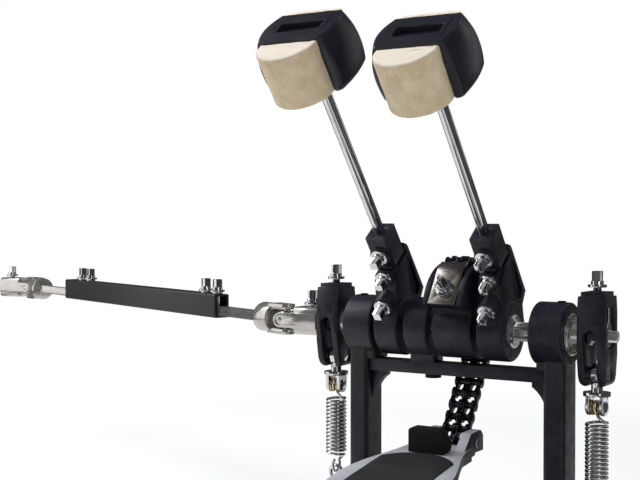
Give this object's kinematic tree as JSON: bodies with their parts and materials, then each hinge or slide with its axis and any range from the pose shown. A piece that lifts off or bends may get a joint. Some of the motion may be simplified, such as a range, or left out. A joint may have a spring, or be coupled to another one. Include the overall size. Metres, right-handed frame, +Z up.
{
  "type": "bass drum pedal",
  "caption": "Chain-driven bass drum pedal with two felt beaters on coaxial axles, return springs, hoop clamp and a telescopic drive linkage for a second pedal.",
  "frame": {"origin": "on the floor below the axle, midway between the two posts, on the underside of the rubber sheet", "axes": "+X along the axle to the player's right, +Y towards the drum, +Z up"},
  "size_m": [0.81, 0.5244, 0.3917],
  "materials": {
    "cast_black": "fine-textured satin black powder coat",
    "plate_black": "satin black paint on steel plate",
    "rubber_black": "ribbed matte rubber",
    "tread_dark": "moulded grip insert",
    "silver_cast": "silver-grey painted casting",
    "bright_steel": "bright chrome plate",
    "satin_steel": "satin nickel plate",
    "race_steel": "ground bearing steel",
    "roller_brass": "turned brass",
    "chain_black": "blackened oiled steel",
    "head_plastic": "dark grey moulded plastic",
    "felt_beige": "dense pressed felt"
  },
  "bodies": {
    "frame": {"base_grip": "rubber_black", "base_plate": "plate_black", "left_upright": "cast_black", "right_upright": "cast_black", "crossbar": "cast_black", "centre_housing": "cast_black", "bearing_rings": "race_steel", "frame_screws": "plate_black", "heel_plate": "silver_cast", "hinge_pins": "bright_steel", "spring_anchors": "bright_steel", "spurs": "bright_steel", "lower_jaw_pad": "rubber_black"},
    "clamp_jaw": {"clamp_jaw": "cast_black", "clamp_jaw_pad": "rubber_black"},
    "wing_bolt": {"clamp_wing_bolt": "bright_steel"},
    "footboard": {"footboard": "silver_cast", "footboard_insert": "tread_dark", "toe_block": "rubber_black"},
    "left_axle": {"left_axle": "satin_steel", "left_rocker": "cast_black", "left_saddle_and_pin": "bright_steel", "left_key_bolts": "bright_steel", "left_hub": "cast_black", "near_fork": "satin_steel"},
    "right_axle": {"right_axle": "satin_steel", "right_rocker": "cast_black", "right_saddle_and_pin": "bright_steel", "right_key_bolts": "bright_steel", "right_hub": "cast_black", "cam": "cast_black", "chain_clip": "bright_steel", "cam_chain": "chain_black"},
    "drive_chain": {"drive_chain": "chain_black"},
    "near_cross": {"near_cross": "satin_steel"},
    "near_cup": {"near_cup": "satin_steel"},
    "link_tube": {"link_tube": "plate_black", "tube_bolts": "bright_steel"},
    "far_cup": {"far_cup": "satin_steel"},
    "far_cross": {"far_cross": "satin_steel"},
    "far_socket": {"far_socket": "satin_steel", "far_socket_bolt": "bright_steel"},
    "left_shaft_block": {"left_shaft_block": "cast_black", "left_block_bolts": "bright_steel"},
    "left_beater_shaft": {"left_beater_shaft": "bright_steel"},
    "left_beater_head": {"left_beater_body": "head_plastic", "left_beater_felts": "felt_beige"},
    "left_spring_top": {"left_stirrup": "bright_steel", "left_roller": "roller_brass", "left_spring": "bright_steel"},
    "left_spring_foot": {"left_spring_hook": "bright_steel"},
    "right_shaft_block": {"right_shaft_block": "cast_black", "right_block_bolts": "bright_steel"},
    "right_beater_shaft": {"right_beater_shaft": "bright_steel"},
    "right_beater_head": {"right_beater_body": "head_plastic", "right_beater_felts": "felt_beige"},
    "right_spring_top": {"right_stirrup": "bright_steel", "right_roller": "roller_brass", "right_spring": "bright_steel"},
    "right_spring_foot": {"right_spring_hook": "bright_steel"}
  },
  "joints": [
    {"name": "left_axle_turn", "type": "hinge", "parent": "frame", "child": "left_axle", "pos_m": [0, 0, 0.17], "axis": [-1, 0, 0], "range_deg": [-5, 40], "stiffness_Nm_per_rad": 3, "springref_deg": 2.86},
    {"name": "right_axle_turn", "type": "hinge", "parent": "frame", "child": "right_axle", "pos_m": [0, 0, 0.17], "axis": [-1, 0, 0], "range_deg": [-5, 40], "stiffness_Nm_per_rad": 3, "springref_deg": 1.72},
    {"name": "footboard_press", "type": "hinge", "parent": "frame", "child": "footboard", "pos_m": [0, -0.245, 0.03], "axis": [-1, 0, 0], "range_deg": [-1, 7]},
    {"name": "chain_swing", "type": "hinge", "parent": "right_axle", "child": "drive_chain", "pos_m": [0.0042, 0.03103, 0.16185], "axis": [-1, 0, 0], "range_deg": [-54, 7]},
    {"name": "left_stirrup_swing", "type": "hinge", "parent": "left_axle", "child": "left_spring_top", "pos_m": [-0.1055, 0, 0.144], "axis": [-1, 0, 0], "range_deg": [-51, 7]},
    {"name": "left_spring_stretch", "type": "slide", "parent": "left_spring_top", "child": "left_spring_foot", "axis": [0, 0, -1], "range_m": [-0.001, 0.008], "deforming": ["left_spring"]},
    {"name": "left_block_tilt", "type": "hinge", "parent": "left_axle", "child": "left_shaft_block", "pos_m": [-0.05025, -0.00757, 0.21441], "axis": [1, 0, 0], "range_deg": [0, 15]},
    {"name": "left_shaft_height", "type": "slide", "parent": "left_shaft_block", "child": "left_beater_shaft", "axis": [0, -0.6157, 0.788], "range_m": [-0.003, 0.012]},
    {"name": "left_head_turn", "type": "hinge", "parent": "left_beater_shaft", "child": "left_beater_head", "pos_m": [-0.05025, -0.0285, 0.2412], "axis": [0, -0.6157, 0.788], "continuous": true},
    {"name": "right_stirrup_swing", "type": "hinge", "parent": "right_axle", "child": "right_spring_top", "pos_m": [0.1055, 0, 0.144], "axis": [-1, 0, 0], "range_deg": [-51, 7]},
    {"name": "right_spring_stretch", "type": "slide", "parent": "right_spring_top", "child": "right_spring_foot", "axis": [0, 0, -1], "range_m": [-0.001, 0.008], "deforming": ["right_spring"]},
    {"name": "right_block_tilt", "type": "hinge", "parent": "right_axle", "child": "right_shaft_block", "pos_m": [0.03375, -0.00757, 0.21441], "axis": [1, 0, 0], "range_deg": [0, 15]},
    {"name": "right_shaft_height", "type": "slide", "parent": "right_shaft_block", "child": "right_beater_shaft", "axis": [0, -0.6157, 0.788], "range_m": [-0.003, 0.012]},
    {"name": "right_head_turn", "type": "hinge", "parent": "right_beater_shaft", "child": "right_beater_head", "pos_m": [0.03375, -0.0285, 0.2412], "axis": [0, -0.6157, 0.788], "continuous": true},
    {"name": "clamp_jaw_open", "type": "hinge", "parent": "frame", "child": "clamp_jaw", "pos_m": [0, 0.02, 0.02], "axis": [1, 0, 0], "range_deg": [-2, 12]},
    {"name": "wing_bolt_travel", "type": "slide", "parent": "clamp_jaw", "child": "wing_bolt", "axis": [0, 0, 1], "range_m": [-0.0011, 0.0062]},
    {"name": "near_joint_pitch", "type": "hinge", "parent": "left_axle", "child": "near_cross", "pos_m": [-0.152, 0, 0.17], "axis": [0, 1, 0], "range_deg": [-25, 25]},
    {"name": "near_joint_yaw", "type": "hinge", "parent": "near_cross", "child": "near_cup", "pos_m": [-0.152, 0, 0.17], "axis": [0, 0, 1], "range_deg": [-10, 45]},
    {"name": "tube_slide", "type": "slide", "parent": "near_cup", "child": "link_tube", "axis": [-0.9272, 0.3746, 0], "range_m": [-0.05, 0.04]},
    {"name": "far_bar_slide", "type": "slide", "parent": "link_tube", "child": "far_cup", "axis": [-0.9272, 0.3746, 0], "range_m": [-0.05, 0.04]},
    {"name": "far_joint_yaw", "type": "hinge", "parent": "far_cup", "child": "far_cross", "pos_m": [-0.64804, 0.20042, 0.17], "axis": [0, 0, 1], "range_deg": [-45, 10]},
    {"name": "far_joint_pitch", "type": "hinge", "parent": "far_cross", "child": "far_socket", "pos_m": [-0.64804, 0.20042, 0.17], "axis": [0, 1, 0], "range_deg": [-25, 25]}
  ],
  "couplings": [
    {"joint": "footboard_press", "follows": "right_axle_turn", "ratio": 0.172},
    {"joint": "chain_swing", "follows": "right_axle_turn", "ratio": -1.3275},
    {"joint": "left_stirrup_swing", "follows": "left_axle_turn", "ratio": -1.26},
    {"joint": "left_spring_stretch", "follows": "left_axle_turn", "m_per_rad": 0.0107},
    {"joint": "right_stirrup_swing", "follows": "right_axle_turn", "ratio": -1.26},
    {"joint": "right_spring_stretch", "follows": "right_axle_turn", "m_per_rad": 0.0107},
    {"joint": "wing_bolt_travel", "follows": "clamp_jaw_open", "m_per_rad": 0.029}
  ]
}
